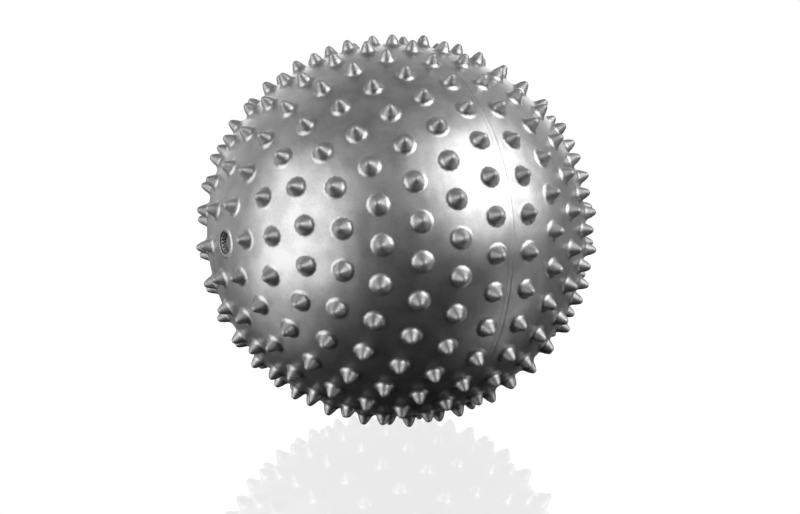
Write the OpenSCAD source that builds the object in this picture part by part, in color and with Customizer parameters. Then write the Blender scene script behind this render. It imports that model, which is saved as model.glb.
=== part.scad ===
/* [Ball] */
// Diameter of the inflated body, without its nubs
body_d = 168; // [120:1:240]
// Thickness of the soft skin
skin_t = 1.5; // [1:0.1:3]

/* [Nubs] */
// Height of a nub above the skin
nub_h = 5; // [3:0.1:7]
// Diameter of a nub's cone where it meets the skin, without the fillet
nub_d = 7.2; // [5:0.1:9]
// Radius of a nub's round crown
crown_r = 1.85; // [0.8:0.05:2.2]
// Radius of the fillet round a nub's foot
fillet_r = 2; // [0.8:0.1:2.6]
// Rows of nubs from the parting line to each pole
rows_per_half = 8; // [4:1:8]
// Angle from one row to the next, seen from the centre of the ball
row_pitch_deg = 10.45; // [9.5:0.05:11]
// Angle from the parting line to the row on each side of it
seam_row_deg = 5.35; // [4:0.05:7]

/* [Parting line] */
// Width of the raised line where the mould halves met
seam_w = 0.8; // [0.3:0.1:2]
// Height of the raised line above the skin
seam_h = 0.2; // [0.1:0.05:0.6]

/* [Valve] */
// Outer diameter of the sleeve that is bonded in the skin
sleeve_d = 11.4; // [10.6:0.2:16]
// Length of the sleeve below the surface of the ball
sleeve_l = 10; // [7:0.5:16]
// Height of the sleeve's rounded lip above the skin
lip_h = 0.6; // [0.2:0.1:1]
// Diameter of the recess that takes the plug's head
recess_d = 9.6; // [8:0.2:10]
// Depth of the recess
recess_depth = 2.8; // [2.4:0.1:4]
// Wall of the sleeve's mouth, round the recess and below it
mouth_wall = 0.9; // [0.5:0.1:2]
// Bore that takes the plug's stem
bore_d = 5; // [4:0.1:6]
// Wall of the skin's neck round the sleeve
neck_t = 2; // [1:0.1:4]
// Thickness of the ledge that the sleeve stands on
ledge_t = 1.4; // [0.8:0.1:3]
// Height of the collar by which the skin swells up to the sleeve's lip
collar_h = 0.4; // [0.2:0.1:0.8]
// Width of the collar's slope
collar_w = 2.4; // [1:0.2:4]

/* [Plug] */
// Gap round the head in its recess
head_gap = 0.2; // [0.1:0.05:0.5]
// Running clearance round the stem in its bore
stem_gap = 0.04; // [0.02:0.01:0.1]
// Height of the head
head_h = 2.4; // [1.9:0.1:2.6]
// Thickness of the rim round the hollow in the head
rim_t = 0.5; // [0.5:0.1:1.5]
// Depth of the hollow in the head
cup_depth = 1.6; // [0.6:0.1:1.8]
// Run of the hollow's wall inwards from the rim to the floor
cup_taper = 1; // [0.2:0.1:1.6]
// Grip ribs round the hollow
grip_ribs = 16; // [8:1:24]
// Length of the stem below the head
stem_l = 11.5; // [9:0.5:18]
// Sealing rings on the stem
stem_rings = 4; // [2:1:5]

/* [Hidden] */
$fn = 96;

body_r = body_d / 2;
sleeve_r = sleeve_d / 2;
recess_r = recess_d / 2;
// Outside of the mouth, which is as wide as the rest of the sleeve here
mouth_r = recess_r + mouth_wall;
neck_r = max(sleeve_r, mouth_r) + neck_t;
// Length by which a cut runs past what it cuts
overrun = 1;
// Chamfer at the mouth of the bore and at the sleeve's inner end
lead_in = 0.4;

// Underside of the head, where it seats on the floor of the recess
head_z = -recess_depth;
head_r = recess_r - head_gap;
cup_r = head_r - rim_t;
cup_floor_r = cup_r - cup_taper;
cup_floor_z = head_z + head_h - cup_depth;
// Rounding of the rim's edges
head_edge = 0.2;
stem_r = bore_d / 2 - stem_gap;
// Height of a sealing ring above the core of the stem
ring_rise = 0.3;
core_r = stem_r - ring_rise;
// Width of a sealing ring at its crown
ring_w = 0.9;
// Width of a grip rib, and how far it stands out of the wall
rib_w = 0.4;
rib_out = 0.35;

// Number of nubs in each row, from the row beside the parting line to the row beside a pole
row_counts = [34, 33, 30, 27, 22, 18, 12, 6];
// Turn of each row past the common meridian, as a share of the angle between its nubs
row_turn_shares = [0, 0, 0, 0, 0, 0.18, 0, 0];
// The common meridian, on which every row starts, lies one nub past -X towards -Z, so that two nubs of
// each row beside the parting line straddle the foot of the ball and it stands on those four
meridian_deg = 180 + 360 / row_counts[0];
// Depth to which the nubs and the parting line are sunk in the skin
sink = skin_t / 2;
// Dip of a nub's fillet under the skin, so that it runs out at a clear edge
foot_dip = 0.06;

// Seats what is drawn with +Z outwards on the middle of the valve, which faces -Y
module at_valve() {
    rotate([90, 0, 0]) translate([0, 0, body_r]) children();
}

// Points of a nub's half outline, from its foot to its crown: a fillet, a straight side that touches
// both arcs, and a round crown, each arc as two chords
function nub_points() =
    let (
        crown_z = nub_h - crown_r,
        // Slope of the side, up from the skin, and its direction outwards
        slope = atan2(crown_z, nub_d / 2) + asin(crown_r / norm([nub_d / 2, crown_z])),
        skin_drop = body_r - sqrt(pow(body_r, 2) - pow(nub_d / 2 + fillet_r / 2, 2)),
        fillet_z = fillet_r - skin_drop - foot_dip,
        fillet_x = nub_d / 2 - fillet_z / tan(slope) + fillet_r / sin(slope)
    )
    concat(
        [for (t = [0, slope / 2, slope]) [fillet_x - fillet_r * sin(t), fillet_z - fillet_r * cos(t)]],
        [for (t = [slope, slope / 2, slope / 6]) [crown_r * sin(t), crown_z + crown_r * cos(t)]]
    );

module nub() {
    side = nub_points();
    rotate_extrude() polygon(concat([[0, -sink], [side[0][0], -sink]], side, [[0, side[5][1]]]));
}

// A nub at an angle from the valve and a turn round the valve's axis
module nub_at(from_valve, turn) {
    rotate([0, from_valve, turn]) translate([0, 0, body_r]) nub();
}

// Rows mirrored about the parting line, and the one nub opposite the valve
module nub_field() {
    places = [
        for (k = [0 : rows_per_half - 1], side = [-1, 1], i = [0 : row_counts[k] - 1])
            [90 + side * (seam_row_deg + k * row_pitch_deg),
             meridian_deg + (i + row_turn_shares[k]) * 360 / row_counts[k]],
        [180, 0]
    ];
    rotate([90, 0, 0]) for (place = places) nub_at(place[0], place[1]);
}

module parting_line() {
    foot_r = body_r - sink;
    rotate([90, 0, 0]) rotate_extrude()
        polygon([
            [foot_r, -seam_w],
            [body_r + seam_h, -seam_w / 4],
            [body_r + seam_h, seam_w / 4],
            [foot_r, seam_w]
        ]);
}

// Points of the collar's slope, a half wave from its foot up to the sleeve
function collar_points() = [
    for (u = [0 : 0.25 : 1])
        let (rho = mouth_r + collar_w * (1 - u), skin_z = sqrt(pow(body_r, 2) - pow(rho, 2)) - body_r)
        [rho, skin_z - foot_dip + (collar_h + foot_dip) * (1 - cos(180 * u)) / 2]
];

module valve_collar() {
    slope = collar_points();
    root = [[0, -sink], [slope[0][0], slope[0][1] - sink / 2]];
    rotate_extrude() polygon(concat(root, slope, [[0, slope[4][1]]]));
}

// Solid neck that stands inwards from the skin, with a flared root and a chamfered end
module valve_neck() {
    rotate_extrude() polygon([
        [0, -skin_t / 2],
        [neck_r + neck_t, -skin_t / 2],
        [neck_r + neck_t, -skin_t],
        [neck_r, -skin_t - neck_t],
        [neck_r, -sleeve_l],
        [neck_r - ledge_t, -sleeve_l - ledge_t],
        [0, -sleeve_l - ledge_t]
    ]);
}

// Step of the sleeve's outside from its barrel up to its mouth, which the pocket in the skin follows
mouth_step = [
    [sleeve_r, -recess_depth - 2 * mouth_wall],
    [mouth_r, -recess_depth - mouth_wall]
];

// Pocket for the sleeve, and the hole in the ledge below it that lets the air through
module sleeve_pocket() {
    rotate_extrude() polygon(concat(
        [[0, -sleeve_l], [sleeve_r, -sleeve_l]],
        mouth_step,
        [[mouth_r, overrun], [0, overrun]]
    ));
    translate([0, 0, -sleeve_l - ledge_t - overrun])
        cylinder(r = bore_d / 2 + ledge_t / 2, h = ledge_t + 2 * overrun);
}

module ball_skin() {
    color("#b9bcc0") {
        difference() {
            union() {
                difference() {
                    sphere(r = body_r);
                    sphere(r = body_r - skin_t);
                }
                at_valve() {
                    valve_neck();
                    valve_collar();
                }
            }
            at_valve() sleeve_pocket();
        }
        nub_field();
        parting_line();
    }
}

// Half outline of the sleeve's lip: half an ellipse over its wall, from outside to inside
lip_points = [
    for (a = [0 : 30 : 180])
        [recess_r + mouth_wall / 2 * (1 + cos(a)), lip_h * sin(a)]
];

module valve_sleeve() {
    color("#a9acb0") at_valve() rotate_extrude() polygon(concat(
        lip_points,
        [
            [recess_r, -recess_depth],
            [bore_d / 2 + lead_in, -recess_depth],
            [bore_d / 2, -recess_depth - lead_in],
            [bore_d / 2, -sleeve_l],
            [sleeve_r - lead_in, -sleeve_l],
            [sleeve_r, -sleeve_l + lead_in]
        ],
        mouth_step
    ));
}

// Ring i of the stem, counted from the head, as outline points from its upper edge to its lower
function ring_points(i) =
    let (z = head_z - stem_l * (i + 1) / (stem_rings + 1), flank = ring_w / 2)
    [
        [core_r, z + ring_w / 2 + flank],
        [stem_r, z + ring_w / 2],
        [stem_r, z - ring_w / 2],
        [core_r, z - ring_w / 2 - flank]
    ];

// Head with a hollow in it, on a stem with sealing rings and a tapered end
module plug_turned() {
    rotate_extrude() polygon(concat(
        [
            [0, cup_floor_z],
            [cup_floor_r, cup_floor_z],
            [cup_r, head_z + head_h - head_edge],
            [cup_r + head_edge, head_z + head_h],
            [head_r - head_edge, head_z + head_h],
            [head_r, head_z + head_h - head_edge],
            [head_r, head_z],
            [core_r, head_z]
        ],
        [for (i = [0 : stem_rings - 1]) each ring_points(i)],
        [
            [core_r, head_z - stem_l + core_r / 2],
            [core_r / 2, head_z - stem_l],
            [0, head_z - stem_l]
        ]
    ));
}

// Ribs that run down the sloping wall of the head's hollow
module grip() {
    rib_root = rim_t / 2;
    rib_side = [
        [cup_floor_r - rib_out, cup_floor_z - rib_root],
        [cup_floor_r - rib_out, cup_floor_z],
        [cup_r - rib_out, head_z + head_h - head_edge],
        [cup_r + rib_root, head_z + head_h - head_edge],
        [cup_r + rib_root, cup_floor_z - rib_root]
    ];
    for (i = [0 : grip_ribs - 1])
        rotate([90, 0, i * 360 / grip_ribs])
            translate([0, 0, -rib_w / 2]) linear_extrude(rib_w) polygon(rib_side);
}

module valve_plug() {
    color("#a9acb0") at_valve() {
        plug_turned();
        grip();
    }
}

ball_skin();
valve_sleeve();
valve_plug();
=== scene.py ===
import math

import bpy
import numpy as np
from mathutils import Matrix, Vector
from mathutils.geometry import delaunay_2d_cdt


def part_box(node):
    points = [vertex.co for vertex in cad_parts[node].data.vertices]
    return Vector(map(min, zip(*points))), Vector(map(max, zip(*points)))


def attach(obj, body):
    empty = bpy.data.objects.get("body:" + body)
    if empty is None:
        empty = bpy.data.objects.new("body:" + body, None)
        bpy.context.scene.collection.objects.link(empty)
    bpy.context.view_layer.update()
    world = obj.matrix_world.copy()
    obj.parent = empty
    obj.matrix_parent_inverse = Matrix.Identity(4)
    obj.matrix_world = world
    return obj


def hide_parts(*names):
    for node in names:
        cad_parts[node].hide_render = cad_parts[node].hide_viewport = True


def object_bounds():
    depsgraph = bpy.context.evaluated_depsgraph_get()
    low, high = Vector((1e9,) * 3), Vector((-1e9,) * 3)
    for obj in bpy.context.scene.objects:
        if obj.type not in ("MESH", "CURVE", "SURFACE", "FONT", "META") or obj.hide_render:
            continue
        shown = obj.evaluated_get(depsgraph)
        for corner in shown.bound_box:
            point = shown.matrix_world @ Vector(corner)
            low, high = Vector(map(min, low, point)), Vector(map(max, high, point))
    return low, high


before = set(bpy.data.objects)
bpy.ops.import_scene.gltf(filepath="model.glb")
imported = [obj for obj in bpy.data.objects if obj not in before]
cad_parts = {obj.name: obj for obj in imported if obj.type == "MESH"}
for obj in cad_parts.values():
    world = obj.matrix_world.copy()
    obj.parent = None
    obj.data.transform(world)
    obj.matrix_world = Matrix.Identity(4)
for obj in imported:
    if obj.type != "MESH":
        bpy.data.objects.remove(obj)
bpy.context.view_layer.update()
mm = 0.001

# Boxes of the CAD nodes, in mm: the skin reaches its far nub on +Y, and the valve lies on -Y
skinBox, sleeveBox, plugBox = (
    np.array(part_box(node)) / mm for node in ("ball_skin", "valve_sleeve", "valve_plug")
)

ball = {
    "nubHeight": 5.0,  # mm from the skin to the crown
    "nubDiameter": 7.1,  # mm, the cone where it meets the skin
    "crownRadius": 1.75,  # mm
    "filletRadius": 2.7,  # mm, round the foot of a nub
    "bulge": 0.12,  # mm by which the side swells between fillet and crown
    "nubSides": 12,
    "nubPoints": (4, 3),  # points of the fillet and of the crown in a nub's half outline
    "seed": 7,
    "lean": 1.2,  # degrees by which cast nubs stand off square
    "heightSpread": 0.02,  # share by which they differ in height
    "rowCounts": [34, 33, 30, 27, 22, 18, 12, 6],  # nubs in a row, from the parting line to a pole
    "rowPitch": 10.45,  # degrees from row to row
    "seamRow": 5.35,  # degrees from the parting line to the first row
    "turnedRow": 5,  # the one row that starts past the common meridian
    "turnedShare": 0.18,  # how far past it, as a share of the step between its nubs
    "skinThickness": 1.5,  # mm
    "lines": [(0.09, 0.32, 0.0), (0.05, 0.3, -2.1)],  # mm, height, width and y of the parting lines
    "collar": (0.45, 1.2, 0.1),  # mm, height, slope and flat top of the swelling round the valve
    "neck": (2.0, 1.4, 3.2),  # mm, wall and ledge of the valve's neck, radius of its air hole
    "unevenness": 0.05,  # mm, height of the soft waves of an inflated skin
    "waves": (11, 13, 9, 17, 20),  # mm per radian, along X, Z and Y, and of what bends them
    "sag": 0.02,  # share by which the soft ball sinks under its own weight
    "sharpAngle": 42,  # degrees past which an edge looks sharp
    # Points of the skin's mesh
    "spacing": 2.1,  # mm
    "clearShare": (0.62, 0.6),  # of that spacing, kept free round a nub's foot and beside the lines
    "lineRows": [-2.7, -2.35, -2.1, -1.85, -1.5, -0.6, -0.32, -0.12, 0.12, 0.32, 0.6],  # mm, y
    "linePoints": 360,
    "lineClear": 0.3,  # mm from a row of these to a nub's foot
    "valveRows": [0, 0.5, 0.9, 1.3, 1.7, 2.1, 2.6, 3.1, 3.7],  # mm out from the sleeve
    "valveClear": 4.4,  # mm from the sleeve to the even points
    "innerRows": 45,  # rows of the skin's inner face, from the neck to the far pole
    "turned": 64,  # columns of what is turned about the valve's axis
}
bodyRadius = round(skinBox[1][1] - ball["nubHeight"], 1)
sleeveRadius = sleeveBox[1][0]
sleeveEnd = -(sleeveBox[1][1] + bodyRadius)


# A mesh from arrays in mm, smooth shaded, that rides on its body in place of a CAD node
def makePiece(name, points, faces, body, node, material, normals=None):
    sunk = np.array([1, 1, 1 - ball["sag"]])
    data = bpy.data.meshes.new(name)
    data.from_pydata((points * sunk * mm).tolist(), [], faces)
    data.shade_smooth()
    data.set_sharp_from_angle(angle=math.radians(ball["sharpAngle"]))
    if normals is not None:  # a zero normal leaves the one that the faces give
        tilted = normals / sunk
        length = np.linalg.norm(tilted, axis=1, keepdims=True)
        data.normals_split_custom_set_from_vertices((tilted / np.maximum(length, 1e-9)).tolist())
    data.materials.append(material)
    piece = bpy.data.objects.new(name, data)
    bpy.context.scene.collection.objects.link(piece)
    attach(piece, body)
    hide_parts(node)
    print(f"{name}: {len(points)} points, {len(faces)} faces")
    return piece


# Quads between the rows of a grid whose columns run round in a ring; closed joins the last row to
# the first
def gridFaces(rows, columns, first=0, closed=False):
    r = np.arange(rows if closed else rows - 1)[:, None]
    c = np.arange(columns)[None, :]
    below, above = r * columns, (r + 1) % rows * columns
    after = (c + 1) % columns
    corners = [below + c, below + after, above + after, above + c]
    return (first + np.stack(corners, -1)).reshape(-1, 4)


# Angles of points spaced evenly round a circle
def evenTurns(count):
    return np.arange(count) * 2 * np.pi / count


# Ring r of the grid is profile point r, its radius and height over the skin, turned about the
# valve's axis: x and z from the radius, y inwards from the height
def revolved(profile, columns):
    turn = evenTurns(columns)
    radius, outward = profile[:, :1], profile[:, 1:]
    x, z = radius * np.cos(turn), radius * np.sin(turn)
    y = np.repeat(-(bodyRadius + outward), columns, axis=1)
    return np.stack([x, y, z], -1).reshape(-1, 3)


# Points of an arc in a profile, its angles in radians from straight out along the axis
def arc(centre, radius, start, stop, steps):
    t = np.linspace(start, stop, steps)
    return np.stack([centre[0] + radius * np.sin(t), centre[1] + radius * np.cos(t)], 1)


# Unit vectors to the nubs: rows at equal angles on both sides of the parting line, evenly spaced
# round the valve's axis from one common meridian, and one nub opposite the valve
def nubDirections():
    counts = np.array(ball["rowCounts"])
    rows = np.repeat(np.arange(len(counts)), counts)
    index = np.concatenate([np.arange(n) for n in counts])
    shift = np.where(rows == ball["turnedRow"], ball["turnedShare"], 0)
    turn = np.radians(180 + 360 / counts[0] + (index + shift) * 360 / counts[rows])
    lift = np.radians(ball["seamRow"] + rows * ball["rowPitch"])
    x, z = np.cos(lift) * np.cos(turn), np.cos(lift) * np.sin(turn)
    half = np.stack([x, -np.sin(lift), z], 1)
    return np.concatenate([half, half * [1, -1, 1], [[0, 1, 0]]])


# Half outline of a nub as distance from its axis and height over the tangent plane: a fillet that
# leaves the round skin smoothly, a straight side, and a round crown; and the angle from the axis
# at which each point faces
def nubProfile():
    half, crown, fillet = ball["nubDiameter"] / 2, ball["crownRadius"], ball["filletRadius"]
    crownAt = ball["nubHeight"] - crown
    slope = math.atan2(crownAt, half) + math.asin(crown / math.hypot(half, crownAt))
    filletAt = [half, fillet]
    for _ in range(12):  # its centre settles one fillet radius off both the side and the skin
        filletAt[0] = half - filletAt[1] / math.tan(slope) + fillet / math.sin(slope)
        filletAt[1] = math.sqrt((bodyRadius + fillet) ** 2 - filletAt[0] ** 2) - bodyRadius
    start = math.asin(filletAt[0] / (bodyRadius + fillet))
    low, high = ball["nubPoints"]
    last = slope / high  # one step short of the tip
    fillets = arc(filletAt, -fillet, start, slope, low)
    crowns = arc([0, crownAt], crown, slope, last, high)
    outwards = np.array([math.sin(slope), math.cos(slope)])
    middle = (fillets[-1] + crowns[0]) / 2 + ball["bulge"] * outwards
    turns = [*np.linspace(start, slope, low), slope, *np.linspace(slope, last, high)]
    return np.concatenate([fillets, [middle], crowns]), np.array(turns)


# Height of the skin over a true ball in mm: slow waves, with bare shares that keep them from lining
# up; the raised parting lines, each a bell curve across y; and the collar, half a wave up to the
# valve
def skinHeight(directions):
    x, y, z = (directions * bodyRadius).T
    onX, onZ, onY, bendZ, bendX = ball["waves"]
    waves = np.sin(x / onX + 0.7 * np.sin(z / bendZ)) * np.sin(z / onZ + 1.1)
    waves += 0.6 * np.sin(y / onY + x / bendX)
    lines = sum(rise * np.exp(-(((y - at) / wide) ** 2)) for rise, wide, at in ball["lines"])
    high, slope, flat = ball["collar"]
    share = np.clip((slope + flat + sleeveRadius - np.hypot(x, z)) / slope, 0, 1) * (y < 0)
    collar = (1 - np.cos(np.pi * share)) / 2
    return ball["unevenness"] * waves * (1 - collar) + lines + high * collar


# Two unit vectors square to each direction and to each other
def squareTo(directions):
    across = np.cross(directions, [0.31, 0.22, 0.93])  # a way that no direction takes exactly
    across /= np.linalg.norm(across, axis=1, keepdims=True)
    return across, np.cross(directions, across)


# Outward normals of the skin, tilted against the rise of its height on both sides of each point
def skinNormals(directions):
    reach = 0.05  # mm to either side
    normals = directions.copy()
    for across in squareTo(directions):
        step = across * (reach / bodyRadius)
        rise = (skinHeight(directions + step) - skinHeight(directions - step)) / (2 * reach)
        normals -= rise[:, None] * across
    return normals / np.linalg.norm(normals, axis=1, keepdims=True)


# The nubs as arrays of nub, ring, side and xyz: the profile turned about each nub's axis, from the
# skin's height there, a little stretched and leaned; the directions they face; and their tips
def nubRings(axes, profile, turns):
    rng = np.random.default_rng(ball["seed"])
    across, along = squareTo(axes)
    turn = evenTurns(ball["nubSides"])[:, None]
    spoke = across[:, None] * np.cos(turn) + along[:, None] * np.sin(turn)
    stretch = 1 + ball["heightSpread"] * rng.uniform(-1, 1, len(axes))
    leans = np.tan(np.radians(ball["lean"])) * rng.uniform(-1, 1, (len(axes), 2))
    lean = leans[:, :1] * across + leans[:, 1:] * along
    base = skinHeight(axes) + bodyRadius
    height = profile[:, 1] * np.where(profile[:, 1] > 0, stretch[:, None], 1)
    rings = (
        axes[:, None, None] * (base[:, None] + height)[:, :, None, None]
        + lean[:, None, None] * np.clip(height, 0, None)[:, :, None, None]
        + spoke[:, None] * profile[:, 0][:, None, None]
    )
    turns = turns[:, None, None]
    facing = spoke[:, None] * np.sin(turns) + axes[:, None, None] * np.cos(turns)
    top = ball["nubHeight"] * stretch
    tips = axes * (base + top)[:, None] + lean * top[:, None]
    return rings, facing, tips


# Directions to even points on a circle about the valve's axis, its radius and y in mm
def circle(radius, y, count):
    turn = evenTurns(count)
    points = np.stack([radius * np.cos(turn), np.full(count, y), radius * np.sin(turn)], 1)
    return points / bodyRadius


# Directions to the points of the skin between the nubs: rings round the valve, rows along the
# parting lines, and over the rest a spiral that gives each point the same room, clear of the others
def groundDirections(axes, footRadius):
    def fromNubs(directions):  # mm to the middle of the nearest nub
        return bodyRadius * np.arccos(np.clip((directions @ axes.T).max(1), -1, 1))

    valveRings = [
        circle(r, -math.sqrt(bodyRadius**2 - r * r), ball["turned"])
        for r in sleeveRadius + np.array(ball["valveRows"])
    ]
    rows = ball["lineRows"]
    lines = np.concatenate(
        [circle(math.sqrt(bodyRadius**2 - y * y), y, ball["linePoints"]) for y in rows]
    )
    lines = lines[fromNubs(lines) > footRadius + ball["lineClear"]]

    total = int(4 * np.pi * bodyRadius**2 / (ball["spacing"] ** 2 * math.sqrt(3) / 2))
    step = np.arange(total) + 0.5
    tilt, spin = np.arccos(1 - 2 * step / total), np.pi * (1 + math.sqrt(5)) * step
    even = np.stack([np.sin(tilt) * np.cos(spin), np.cos(tilt), np.sin(tilt) * np.sin(spin)], 1)
    atNub, atLine = (share * ball["spacing"] for share in ball["clearShare"])
    y = even[:, 1] * bodyRadius
    fromAxis = np.hypot(even[:, 0], even[:, 2]) * bodyRadius
    clear = fromNubs(even) > footRadius + atNub
    clear &= (y < rows[0] - atLine) | (y > rows[-1] + atLine)
    clear &= (y > 0) | (fromAxis > sleeveRadius + ball["valveClear"])
    return np.concatenate([*valveRings, lines, even[clear]])


# Triangles between points on a ball, each joined to its nearest neighbours. The points are laid
# flat from the far pole, x / (1 - y) and z / (1 - y), which keeps circles round, so the flat sheet
# and the ball join up alike
def joinPoints(directions):
    flat = directions[:, [0, 2]] / (1 - directions[:, 1:2])
    sheet = delaunay_2d_cdt(flat.tolist(), [], [], 0, 1e-9)
    own = np.array([origin[0] for origin in sheet[3]])  # the given point behind each of its points
    triangles = own[np.array(sheet[2])]
    a, b, c = (directions[triangles[:, i]] for i in range(3))
    inward = (np.cross(b - a, c - a) * a).sum(1) < 0
    triangles[inward] = triangles[inward][:, ::-1]
    print(f"ground: {len(directions)} points, {len(triangles)} triangles")
    return triangles


# Radius and height over the skin, from the pocket's mouth over its ledge and round the neck, then
# along the inner face of the skin to the far pole
def innerProfile():
    skin = ball["skinThickness"]
    neck, ledge, hole = ball["neck"]
    pocket = [[sleeveRadius, sleeveEnd], [hole, sleeveEnd], [hole, sleeveEnd - ledge]]
    outer = sleeveRadius + neck
    necks = [[outer - ledge, sleeveEnd - ledge], [outer, sleeveEnd], [outer, -skin - neck]]
    innerRadius = bodyRadius - skin
    first = math.asin((outer + neck) / innerRadius)
    around = np.linspace(first, np.pi, ball["innerRows"] + 1)[:-1]
    shell = [innerRadius * np.sin(around), innerRadius * np.cos(around) - bodyRadius]
    return np.concatenate([pocket, necks, np.stack(shell, 1)])


# The cast skin: the nubs and the outside between them, the pocket and neck of the valve, and the
# inside of the shell
def ballSkin(material):
    axes = nubDirections()
    count, sides = len(axes), ball["nubSides"]
    profile, turns = nubProfile()
    rings, facing, tips = nubRings(axes, profile, turns)
    feet = rings[:, 0].reshape(-1, 3)
    feetDirections = feet / np.linalg.norm(feet, axis=1, keepdims=True)

    # The skin between the nubs, without the triangles inside one foot or the valve's mouth
    ground = np.concatenate([feetDirections, groundDirections(axes, profile[0, 0])])
    triangles = joinPoints(ground)
    columns = ball["turned"]
    mouth = len(feet) + np.arange(columns)
    owner = np.full(len(ground), -1)
    owner[: len(feet)] = np.repeat(np.arange(count), sides)
    owner[mouth] = count
    a, b, c = owner[triangles].T
    triangles = triangles[~((a == b) & (b == c) & (a >= 0))]
    groundPoints = ground * (bodyRadius + skinHeight(ground))[:, None]
    groundPoints[: len(feet)] = feet

    # Each nub's upper rings stand on its foot, which is part of the ground
    upper = rings[:, 1:].reshape(-1, 3)
    levels = rings.shape[1] - 1
    start = len(ground)
    foot = np.arange(len(feet)).reshape(count, 1, sides)
    rest = start + np.arange(len(upper)).reshape(count, levels, sides)
    ids = np.concatenate([foot, rest], 1)
    after = np.roll(ids, -1, axis=2)
    quads = np.stack([ids[:, :-1], after[:, :-1], after[:, 1:], ids[:, 1:]], -1).reshape(-1, 4)
    poles = start + len(upper) + np.arange(count)
    around = np.repeat(poles[:, None], sides, 1)
    caps = np.stack([ids[:, -1], after[:, -1], around], -1).reshape(-1, 3)

    # The pocket's wall, the neck behind it and the inner face, turned about the valve's axis
    inner = innerProfile()
    innerPoints = revolved(inner, columns)
    first = poles[-1] + 1 + np.arange(columns)
    wall = np.stack([mouth, np.roll(mouth, -1), np.roll(first, -1), first], -1)
    innerQuads = gridFaces(len(inner), columns, first[0])
    farPole = first[0] + len(innerPoints)
    last = farPole - columns + np.arange(columns)
    innerCap = np.stack([last, np.roll(last, -1), np.full(columns, farPole)], -1)
    farPoint = [[0, bodyRadius - ball["skinThickness"], 0]]

    points = np.concatenate([groundPoints, upper, tips, innerPoints, farPoint])
    groups = (triangles, quads, caps, wall, innerQuads, innerCap)
    faces = [face for group in groups for face in group.tolist()]
    normals = np.zeros_like(points)
    normals[:start] = skinNormals(ground)
    normals[start : poles[0]] = facing[:, 1:].reshape(-1, 3)
    normals[poles] = axes
    return makePiece(
        "castSkin", points, faces, "ball", "ball_skin", material, normals
    )


sleeve = {
    "edge": 0.3,  # mm, radius by which the lip turns down into the recess
    "edgePoints": 6,
    "recess": 4.8,  # mm, radius of the recess
    "recessDepth": 2.8,  # mm
    "bore": 2.5,  # mm, radius of the bore
    "chamfer": 0.4,  # mm, at the bore's mouth and round the inner end
    "corner": 0.25,  # mm, round the floor of the recess
}


# A short tube turned about the valve's axis: its lip carries on from the swelling of the skin and
# turns down into the stepped bore
def valveSleeve(material):
    edge, recess, floor = sleeve["edge"], sleeve["recess"], -sleeve["recessDepth"]
    bore, chamfer, corner = sleeve["bore"], sleeve["chamfer"], sleeve["corner"]
    lip = math.sqrt((bodyRadius + ball["collar"][0]) ** 2 - sleeveRadius**2) - bodyRadius
    profile = np.array(
        [
            [sleeveRadius, lip],
            *arc([recess + edge, lip - edge], edge, 0, -np.pi / 2, sleeve["edgePoints"]),
            [recess, floor + corner],
            [recess - corner, floor],
            [bore + chamfer, floor],
            [bore, floor - chamfer],
            [bore, sleeveEnd],
            [sleeveRadius - chamfer, sleeveEnd],
            [sleeveRadius, sleeveEnd + chamfer],
        ]
    )
    points = revolved(profile, ball["turned"])
    faces = gridFaces(len(profile), ball["turned"], closed=True).tolist()
    return makePiece(
        "valveSleeve", points, faces, "ball", "valve_sleeve", material
    )


plug = {
    "gap": 0.07,  # mm between the head and its recess
    "stemGap": 0.04,  # mm between the stem and its bore
    "rim": 0.55,  # mm, wall round the hollow head
    "rimPoints": 7,
    "cup": 1.6,  # mm, depth of the hollow
    "taper": 1.0,  # mm by which its wall runs inwards
    "dish": (0.6, 0.05),  # share of the floor's radius that is sunk, and mm by which it is
    "ribs": 16,
    "ribSides": 8,  # columns from rib to rib
    "ribOut": 0.4,  # mm
    "ribShare": (0.1, 0.7),  # of a wave's height, where a rib starts under its middle and its rise
    "ribFade": [1, 1, 1, 0.4],  # how far a rib stands out, from the floor up to the rim
    "rings": 4,
    "ringRise": 0.3,  # mm
    "ringWidth": 0.9,  # mm
}


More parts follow.
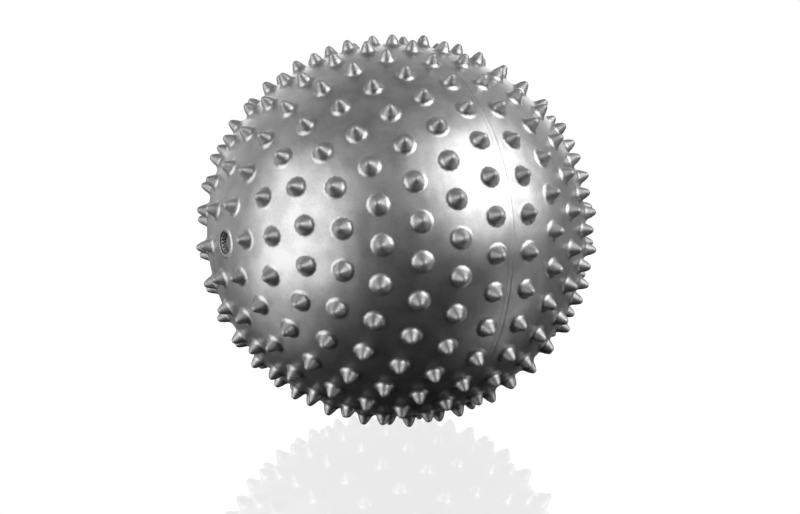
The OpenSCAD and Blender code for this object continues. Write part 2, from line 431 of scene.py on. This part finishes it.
# Turned head and stem; the sloping wall of the head's hollow swells inwards at each grip rib, by a
# wave round the axis whose lower part is cut off
def valvePlug(material):
    head, rim = sleeve["recess"] - plug["gap"], plug["rim"]
    top, end = -(plugBox[0][1] + bodyRadius), -(plugBox[1][1] + bodyRadius)
    seat = -sleeve["recessDepth"]
    mouth, floor = head - rim, top - plug["cup"]
    low = mouth - plug["taper"]
    stem = sleeve["bore"] - plug["stemGap"]
    core = stem - plug["ringRise"]
    sunk, dip = plug["dish"]
    fade = np.array(plug["ribFade"])[:, None]
    wall = np.linspace([low, floor], [mouth, top - rim / 2], len(fade))  # ends where the rim starts
    middle = [head - rim / 2, top - rim / 2]
    crown = arc(middle, rim / 2, -np.pi / 2, np.pi / 2, plug["rimPoints"])[1:]
    profile = [[low * sunk, floor - dip], *wall, *crown, [head, seat], [core, seat]]
    width = plug["ringWidth"]
    for i in range(plug["rings"]):
        at = seat - (seat - end) * (i + 1) / (plug["rings"] + 1)
        profile += [[core, at + width], [stem, at + width / 2]]
        profile += [[stem, at - width / 2], [core, at - width]]
    profile = np.array([*profile, [core, end + core / 2], [core / 2, end]])

    columns = plug["ribs"] * plug["ribSides"]
    grid = revolved(profile, columns).reshape(len(profile), columns, 3)
    wave = np.cos(np.arange(columns) * 2 * np.pi / plug["ribSides"])
    start, rise = plug["ribShare"]
    rib = plug["ribOut"] * np.clip((wave + start) / rise, 0, 1)
    grid[1 : 1 + len(fade), :, ::2] *= ((1 - rib / mouth) ** fade)[:, :, None]
    ends = [[0, -(bodyRadius + floor - dip), 0], [0, -(bodyRadius + end), 0]]
    points = np.concatenate([grid.reshape(-1, 3), ends])
    first = np.arange(columns)
    last = first + (len(profile) - 1) * columns
    firstEnd, lastEnd = np.full(columns, len(points) - 2), np.full(columns, len(points) - 1)
    faces = [
        *gridFaces(len(profile), columns)[:, ::-1].tolist(),
        *np.stack([first, np.roll(first, -1), firstEnd], -1).tolist(),
        *np.stack([np.roll(last, -1), last, lastEnd], -1).tolist(),
    ]
    return makePiece("valvePlug", points, faces, "plug", "valve_plug", material)


# Linear colour of an sRGB hex value
def fromHex(code):
    s = np.array([int(code[i : i + 2], 16) / 255 for i in (1, 3, 5)])
    return (*np.where(s <= 0.04045, s / 12.92, ((s + 0.055) / 1.055) ** 2.4), 1.0)


# Adds one node: settings are its own options or its unlinked sockets, links feed its sockets
def addNode(tree, kind, settings=None, links=None):
    node = tree.nodes.new(kind)
    for key, value in (settings or {}).items():
        if hasattr(node, str(key)):
            setattr(node, key, value)
        else:
            node.inputs[key].default_value = value
    for key, socket in (links or {}).items():
        tree.links.new(socket, node.inputs[key])
    return node


# A material with an empty tree but for its Object coordinates
def newMaterial(name):
    material = bpy.data.materials.new(name)
    material.use_nodes = True
    material.node_tree.nodes.clear()
    place = addNode(material.node_tree, "ShaderNodeTexCoord").outputs["Object"]
    return material, material.node_tree, place


# Scale of a pattern on Object coordinates that repeats every size mm
def perMetre(size):
    return 1 / (size * mm)


pearl = {
    "light": "#acacac",
    "dark": "#949494",
    "metallic": 0.94,
    "ior": 1.53,
    "coat": 1.0,
    # Each of these three on the skin and on the nubs, duller from their turned hollows in the mould
    "roughness": (0.4, 0.6),
    "gloss": (0.28, 0.5),  # roughness of the clear coat of plasticiser
    "spread": (0.0, 0.47),  # how far turning marks draw the highlights out towards foot and crown
    "nubStart": (0.4, 1.3),  # mm over the skin, where its finish turns to that of the nubs
    "tones": (0.5, 0.8, 0.3),  # values of the clouds that are dark and light, weight of the flakes
    "mottle": 9,  # mm, drifts of pearl pigment
    "flake": 0.8,  # mm, drawn coarse enough to show
    "peel": (3.2, 0.04),  # mm, size and depth of the soft orange peel of the cast skin
    "ripples": (45, 7, 0.16),  # mm, length, width and depth of ripples round the valve's axis
    "flow": (26, 0.7, 0.03),  # mm, the same of faint flow lines beside the parting line
    "flowShare": (0.55, 0.78),  # values of their pattern where a line starts and is deepest
    "marks": (0.6, 0.08),  # mm, pitch and depth of the turning marks round each nub
    "softStrength": 0.5,  # of the bumps of peel and flow lines; the other bumps have full strength
}


# Soft PVC with pearl-silver pigment, cast in a spinning mould: a satin, faintly cloudy skin with
# broad highlights, duller on the nubs, where marks of the turned mould spread the light
def rotocastPearlVinyl(name, look):
    material, tree, place = newMaterial(name)
    radius = addNode(tree, "ShaderNodeVectorMath", {"operation": "LENGTH"}, {"Vector": place})
    fromMiddle = radius.outputs["Value"]
    start, stop = ((bodyRadius + height) * mm for height in look["nubStart"])
    nubRange = {"From Min": start, "From Max": stop}
    onNub = addNode(tree, "ShaderNodeMapRange", nubRange, {"Value": fromMiddle}).outputs["Result"]
    rough, gloss, spread = (
        addNode(
            tree,
            "ShaderNodeMapRange",
            {"To Min": look[key][0], "To Max": look[key][1]},
            {"Value": onNub},
        ).outputs["Result"]
        for key in ("roughness", "gloss", "spread")
    )

    # Colour: clouds of pigment with flakes over them
    clouds, flakes, peel = (
        addNode(
            tree,
            "ShaderNodeTexNoise",
            {"Scale": perMetre(size), "Detail": detail},
            {"Vector": place},
        ).outputs["Fac"]
        for size, detail in ((look["mottle"], 3.0), (look["flake"], 1.0), (look["peel"][0], 2.0))
    )
    dark, light, weight = look["tones"]
    tone = addNode(
        tree,
        "ShaderNodeMath",
        {"operation": "MULTIPLY_ADD", 1: weight},
        {0: flakes, 2: clouds},
    )
    ramp = addNode(tree, "ShaderNodeValToRGB", links={"Fac": tone.outputs[0]})
    for element, position, key in zip(ramp.color_ramp.elements, (dark, light), ("dark", "light")):
        element.position, element.color = position, fromHex(look[key])

    # Relief: peel, ripples and flow lines drawn out round the valve's axis, marks on the nubs
    drawn = {}
    for key, detail in (("ripples", 1.0), ("flow", 2.0)):
        length, width, _ = look[key]
        scale = {"Scale": (perMetre(length), perMetre(width), perMetre(length))}
        along = {"Vector": addNode(tree, "ShaderNodeMapping", scale, {"Vector": place}).outputs[0]}
        settings = {"Scale": 1.0, "Detail": detail}
        drawn[key] = addNode(tree, "ShaderNodeTexNoise", settings, along).outputs["Fac"]
    flow = addNode(
        tree,
        "ShaderNodeMapRange",
        {"From Min": look["flowShare"][0], "From Max": look["flowShare"][1]},
        {"Value": drawn["flow"]},
    )
    turning = addNode(
        tree,
        "ShaderNodeTexNoise",
        {"noise_dimensions": "1D", "Scale": perMetre(look["marks"][0]), "Detail": 1.0},
        {"W": fromMiddle},
    )
    marks = addNode(
        tree,
        "ShaderNodeMath",
        {"operation": "MULTIPLY"},
        {0: turning.outputs["Fac"], 1: onNub},
    )
    links = {}
    for height, strength, depth in (
        (peel, look["softStrength"], look["peel"][1]),
        (drawn["ripples"], 1.0, look["ripples"][2]),
        (flow.outputs["Result"], look["softStrength"], look["flow"][2]),
        (marks.outputs[0], 1.0, look["marks"][1]),
    ):
        links["Height"] = height
        settings = {"Strength": strength, "Distance": depth * mm}
        bump = addNode(tree, "ShaderNodeBump", settings, links)
        links["Normal"] = bump.outputs["Normal"]

    shader = addNode(
        tree,
        "ShaderNodeBsdfPrincipled",
        {"Metallic": look["metallic"], "IOR": look["ior"], "Coat Weight": look["coat"]},
        {
            "Base Color": ramp.outputs["Color"],
            "Roughness": rough,
            "Coat Roughness": gloss,
            "Anisotropic": spread,
            "Tangent": place,
            "Normal": links["Normal"],
        },
    )
    addNode(tree, "ShaderNodeOutputMaterial", links={"Surface": shader.outputs["BSDF"]})
    return material


skinMaterial = rotocastPearlVinyl("rotocast pearl-silver soft PVC", pearl)
valveLook = {**pearl, "roughness": (0.45, 0.6)}
valveMaterial = rotocastPearlVinyl("moulded pearl-silver soft PVC", valveLook)
# The plug gets a darker pearl than the sleeve. This is painted shade, standing for the shade deep
# in the valve's recess, not a colour of its own
plugShadeLook = {**pearl, "light": "#7c7c7c", "dark": "#666666", "roughness": (0.42, 0.6)}
plugShadeMaterial = rotocastPearlVinyl("moulded pearl-silver PVC darkened as painted shade", plugShadeLook)
pieces = [ballSkin(skinMaterial), valveSleeve(valveMaterial), valvePlug(plugShadeMaterial)]


view = {
    "azimuth": 56.84,  # degrees from the valve's side round to +X
    "elevation": 6.78,
    "roll": 0.47,
    "distance": 528.4,  # mm from the middle of the ball
    "focalPixels": 1175.4,  # focal length in pixels of the 800 pixel frame
    "frame": (800, 514),
    "ballAt": (396.4, 231.0),  # pixel of the ball's middle
    "sensor": 36.0,  # mm
}


# Right, up and back directions of the camera while it looks straight at the ball
def viewAxes():
    az, el, roll = (math.radians(view[key]) for key in ("azimuth", "elevation", "roll"))
    away = math.cos(el)
    back = np.array([math.sin(az) * away, -math.cos(az) * away, math.sin(el)])
    right = np.array([math.cos(az), math.sin(az), 0.0])
    up = np.cross(back, right)
    cos, sin = math.cos(roll), math.sin(roll)
    return np.stack([right * cos + up * sin, up * cos - right * sin, back])


# Matrix that turns an object's x, y and z to three axes and moves it to a place in mm
def standing(axes, place):
    matrix = Matrix(np.transpose(axes).tolist()).to_4x4()
    matrix.translation = place * mm
    return matrix


# Camera at the photograph's angle, turned so that the ball's middle falls on its pixel
def addCamera():
    axes = viewAxes()
    offX, offY = (view["frame"][i] / 2 - view["ballAt"][i] for i in (0, 1))
    turn = Matrix.Rotation(-math.atan(offX / view["focalPixels"]), 4, "Y")
    nod = Matrix.Rotation(-math.atan(offY / view["focalPixels"]), 4, "X")
    data = bpy.data.cameras.new("camera")
    data.sensor_width = view["sensor"]
    data.lens = view["focalPixels"] * view["sensor"] / view["frame"][0]
    camera = bpy.data.objects.new("camera", data)
    bpy.context.scene.collection.objects.link(camera)
    camera.matrix_world = standing(axes, axes[2] * view["distance"]) @ turn @ nod
    bpy.context.scene.camera = camera
    print("camera: at the photograph's angle")


studio = {
    # Degrees right of and above the camera as seen from the ball, distance, width and height in mm,
    # power in watts
    "left box": (-59, 3, 1400, 1400, 1750, 19.2),
    "right box": (57.5, 28, 1400, 1580, 1270, 25),
    "low left card": (-91, -31, 1400, 1000, 900, 2.0),
    "low right card": (84, -36, 1400, 700, 900, 1.3),
    "back left card": (-124, 25, 1400, 1100, 1500, 1.7),
    "back top card": (175, 46, 1400, 2400, 1300, 2.4),
}


# Soft boxes and cards that face the ball
def addLights():
    axes = viewAxes()
    lit = bpy.data.collections.new("lit pieces")  # so that the acrylic mirrors no soft boxes
    for piece in pieces:
        lit.objects.link(piece)
    for name, (side, lift, distance, width, height, power) in studio.items():
        side, lift = math.radians(side), math.radians(lift)
        level = math.cos(lift)
        out = np.array([math.sin(side) * level, math.sin(lift), math.cos(side) * level]) @ axes
        across = np.cross([0, 0, 1], out)
        across /= np.linalg.norm(across)
        data = bpy.data.lights.new(name, "AREA")
        data.shape, data.energy = "RECTANGLE", power
        data.size, data.size_y = width * mm, height * mm
        light = bpy.data.objects.new(name, data)
        bpy.context.scene.collection.objects.link(light)
        light.matrix_world = standing([across, np.cross(out, across), out], out * distance)
        light.visible_camera = False
        light.light_linking.receiver_collection = lit
    print(f"lights: {len(studio)} soft boxes and cards")


stand = {
    "middle": 1,  # mm, radius of the face that closes its middle
    "flat": 1500,  # mm, radius of the level part
    "bend": 900,  # mm, radius of the curve up to the wall
    "top": 3000,  # mm, height of the wall
    "bendRows": 12,
    "columns": 64,
    "mirrored": 0.2,  # share of the light that the acrylic mirrors near the ball
    "fade": (350, 800),  # mm from the ball, where that share starts and ends to fade
    "card": "#ffffff",
    "brightness": 1.02,  # of the card with what is mirrored on it
    "polish": 0.03,  # roughness of the acrylic
}


# A round sweep of white card under a sheet of clear acrylic: a floor that curves up far round the
# ball and shows it faintly mirrored. Light passes through, so the light on the ball stays the same
def addFloor():
    material, tree, place = newMaterial("white card under clear acrylic")
    near = addNode(tree, "ShaderNodeVectorMath", {"operation": "LENGTH"}, {"Vector": place})
    start, stop = (distance * mm for distance in stand["fade"])
    fade = {"From Min": start, "From Max": stop, "To Min": stand["mirrored"], "To Max": 0.0}
    mirror = addNode(tree, "ShaderNodeMapRange", fade, {"Value": near.outputs["Value"]})
    share = mirror.outputs["Result"]
    left = {"operation": "SUBTRACT", 0: stand["brightness"]}
    strength = addNode(tree, "ShaderNodeMath", left, {1: share}).outputs[0]
    color = {"Color": fromHex(stand["card"])}
    card = addNode(tree, "ShaderNodeEmission", color, {"Strength": strength})
    polish = {"Roughness": stand["polish"]}
    sheet = addNode(tree, "ShaderNodeBsdfGlossy", polish, {"Color": share})
    both = addNode(tree, "ShaderNodeAddShader", links={0: card.outputs[0], 1: sheet.outputs[0]})
    addNode(tree, "ShaderNodeOutputMaterial", links={"Surface": both.outputs[0]})

    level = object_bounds()[0][2] / mm
    middle, flat, bend = stand["middle"], stand["flat"], stand["bend"]
    columns = stand["columns"]
    curve = np.linspace(0, np.pi / 2, stand["bendRows"] + 1)[1:]
    radius = np.array([middle, flat, *(flat + bend * np.sin(curve)), flat + bend])[:, None]
    height = level + np.array([0, 0, *(bend * (1 - np.cos(curve))), stand["top"]])[:, None]
    turn = evenTurns(columns)
    x, y, z = radius * np.cos(turn), radius * np.sin(turn), np.repeat(height, columns, 1)
    faces = [*gridFaces(len(radius), columns).tolist(), list(range(columns))]
    data = bpy.data.meshes.new("floor")
    data.from_pydata((np.stack([x, y, z], -1).reshape(-1, 3) * mm).tolist(), [], faces)
    data.shade_smooth()
    data.materials.append(material)
    floor = bpy.data.objects.new("floor", data)
    bpy.context.scene.collection.objects.link(floor)
    floor.visible_glossy = floor.visible_diffuse = floor.visible_shadow = False
    print("floor: white sweep")


room = {
    "lean": (0.35, 0.15),  # how far the brightest side leans away from the camera and to its left
    # Place from the darkest side to the brightest, and how bright it is there
    "steps": [(0.23, 0.0), (0.35, 0.1), (0.5, 0.21), (0.75, 0.27), (0.9, 0.26), (1.0, 0.3)],
    "dark": (-0.7, -0.25),  # heights where the room starts and ends to fade in over the dark table
    # White wall behind the ball that the acrylic mirrors: where each edge is still dark and white
    "wall": "#ffffff",
    "wallSide": (0.78, 0.86),  # cosine of the angle from the view's axis
    "wallFoot": (0.03, 0.08),  # height
    "wallTop": (0.46, 0.36),
}


# Dim room light, brighter above and behind the ball and dark under it
def addWorld():
    world = bpy.data.worlds.new("studio")
    bpy.context.scene.world = world
    world.use_nodes = True
    tree = world.node_tree
    tree.nodes.clear()
    place = addNode(tree, "ShaderNodeTexCoord").outputs["Generated"]
    right, up, back = viewAxes()
    away, left = room["lean"]
    bright = up - away * back - left * right
    bright /= np.linalg.norm(bright)
    lift, ahead = (
        addNode(
            tree,
            "ShaderNodeVectorMath",
            {"operation": "DOT_PRODUCT", 1: axis.tolist()},
            {0: place},
        ).outputs["Value"]
        for axis in (bright, -back)
    )
    height = addNode(tree, "ShaderNodeSeparateXYZ", links={"Vector": place}).outputs["Z"]
    whole = {"From Min": -1.0, "From Max": 1.0}
    share = addNode(tree, "ShaderNodeMapRange", whole, {"Value": lift})
    ramp = addNode(tree, "ShaderNodeValToRGB", links={"Fac": share.outputs["Result"]})
    while len(ramp.color_ramp.elements) < len(room["steps"]):
        ramp.color_ramp.elements.new(0.5)  # its place is set below
    for element, (position, value) in zip(ramp.color_ramp.elements, room["steps"]):
        element.position, element.color = position, (value, value, value, 1)

    dark, side, foot, top = (
        addNode(
            tree,
            "ShaderNodeMapRange",
            {"From Min": room[key][0], "From Max": room[key][1]},
            {"Value": value},
        ).outputs["Result"]
        for key, value in (
            ("dark", height),
            ("wallSide", ahead),
            ("wallFoot", height),
            ("wallTop", height),
        )
    )
    times = {"operation": "MULTIPLY"}
    band = addNode(tree, "ShaderNodeMath", times, {0: foot, 1: top}).outputs[0]
    patch = addNode(tree, "ShaderNodeMath", times, {0: band, 1: side}).outputs[0]
    shown = {"Color": ramp.outputs["Color"], "Strength": dark}
    dim = addNode(tree, "ShaderNodeBackground", links=shown)
    color = {"Color": fromHex(room["wall"])}
    wall = addNode(tree, "ShaderNodeBackground", color, {"Strength": patch})
    both = addNode(tree, "ShaderNodeAddShader", links={0: dim.outputs[0], 1: wall.outputs[0]})
    addNode(tree, "ShaderNodeOutputWorld", links={"Surface": both.outputs[0]})
    print("world: dim room")


addCamera()
addLights()
addFloor()
addWorld()
bpy.context.scene.view_settings.view_transform = "Standard"
